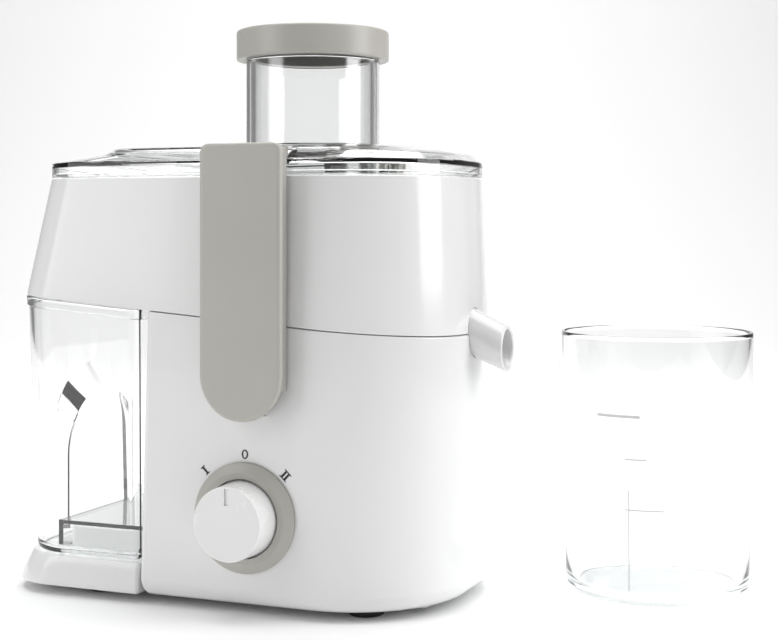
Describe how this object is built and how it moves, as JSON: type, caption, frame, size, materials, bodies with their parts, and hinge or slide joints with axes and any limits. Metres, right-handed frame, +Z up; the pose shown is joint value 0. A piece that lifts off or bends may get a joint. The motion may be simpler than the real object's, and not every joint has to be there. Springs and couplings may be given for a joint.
{
  "type": "centrifugal juicer",
  "caption": "Centrifugal juicer with a clear lid, feed chute, pusher, clamp arms, speed knob, side spout, sliding pulp bin and a jug.",
  "frame": {"origin": "where the motor's axis meets the surface that the juicer stands on", "axes": "+Z up along the motor's axis, -Y to the front with the knob, +X to the juice spout"},
  "size_m": [0.3664, 0.1995, 0.292],
  "materials": {
    "white_gloss": "gloss moulded",
    "knob_white": "gloss moulded",
    "warm_grey": "satin moulded",
    "grey_frame": "satin moulded",
    "clear_plastic": "clear moulded",
    "black_rubber": "matt",
    "grey_rubber": "matt",
    "stainless": "etched sheet",
    "bright_steel": "ground",
    "lamination_steel": "stacked sheet",
    "copper": "enamelled wire and bars",
    "zinc_steel": "zinc plated",
    "dark_plastic": "moulded",
    "carbon": "pressed carbon",
    "board_green": "coated board",
    "orange_plastic": "moulded"
  },
  "bodies": {
    "base": {"base_plate": "white_gloss", "motor_housing": "white_gloss", "upper_housing": "white_gloss", "juice_bowl": "white_gloss", "juice_spout": "white_gloss", "bowl_seal": "black_rubber", "feet": "black_rubber", "base_screws": "zinc_steel", "speed_ring": "warm_grey", "rotary_switch": "dark_plastic", "switch_nut": "zinc_steel", "stator_core": "lamination_steel", "stator_windings": "copper", "upper_bracket": "zinc_steel", "lower_bracket": "zinc_steel", "upper_bearing": "bright_steel", "lower_bearing": "bright_steel", "brush_holders": "dark_plastic", "carbon_brushes": "carbon", "motor_screws": "zinc_steel", "motor_mounts": "black_rubber", "shaft_seal": "black_rubber", "pivot_pins": "bright_steel", "interlock_switch": "dark_plastic", "power_board": "board_green", "cord_gland": "dark_plastic"},
    "rotor": {"motor_shaft": "bright_steel", "rotor_core": "lamination_steel", "rotor_windings": "copper", "commutator": "copper", "cooling_fan": "dark_plastic", "drive_coupling": "dark_plastic", "strainer_basket": "stainless", "basket_hub": "white_gloss", "basket_rim": "white_gloss", "cutter_disc": "stainless"},
    "knob": {"speed_knob": "knob_white", "knob_spindle": "bright_steel"},
    "front_arm": {"front_arm_face": "warm_grey", "front_arm_frame": "grey_frame", "front_arm_pad": "black_rubber"},
    "rear_arm": {"rear_arm_face": "warm_grey", "rear_arm_frame": "grey_frame", "rear_arm_pad": "black_rubber"},
    "plunger": {"interlock_plunger": "orange_plastic"},
    "lid": {"lid": "clear_plastic", "feed_chute": "clear_plastic", "lid_seal": "grey_rubber"},
    "pusher": {"pusher_body": "clear_plastic", "pusher_cap": "warm_grey"},
    "pulp_bin": {"pulp_bin": "clear_plastic"},
    "jug": {"jug": "clear_plastic"}
  },
  "joints": [
    {"name": "rotor_spin", "type": "hinge", "parent": "base", "child": "rotor", "pos_m": [0, 0, 0.1], "axis": [0, 0, 1], "continuous": true},
    {"name": "knob_turn", "type": "hinge", "parent": "base", "child": "knob", "pos_m": [-0.0024, -0.08, 0.0478], "axis": [0, 1, 0], "range_deg": [-45, 45]},
    {"name": "front_arm_swing", "type": "hinge", "parent": "base", "child": "front_arm", "pos_m": [0, -0.077, 0.1015], "axis": [1, 0, 0], "range_deg": [0, 60]},
    {"name": "rear_arm_swing", "type": "hinge", "parent": "base", "child": "rear_arm", "pos_m": [0, 0.077, 0.1015], "axis": [-1, 0, 0], "range_deg": [0, 60]},
    {"name": "plunger_slide", "type": "slide", "parent": "base", "child": "plunger", "axis": [0, -1, 0], "range_m": [0, 0.0015]},
    {"name": "lid_lift", "type": "slide", "parent": "base", "child": "lid", "axis": [0, 0, 1], "range_m": [0, 0.024]},
    {"name": "pusher_slide", "type": "slide", "parent": "lid", "child": "pusher", "axis": [0, 0, 1], "range_m": [0, 0.1]},
    {"name": "bin_slide", "type": "slide", "parent": "base", "child": "pulp_bin", "axis": [-1, 0, 0], "range_m": [0, 0.085]},
    {"name": "jug_lift", "type": "slide", "parent": "base", "child": "jug", "axis": [0, 0, 1], "range_m": [0, 0.08]}
  ],
  "couplings": [
    {"joint": "rear_arm_swing", "follows": "front_arm_swing", "ratio": 1},
    {"joint": "lid_lift", "follows": "front_arm_swing", "m_per_rad": 0.022917},
    {"joint": "plunger_slide", "follows": "front_arm_swing", "m_per_rad": 0.001431}
  ]
}
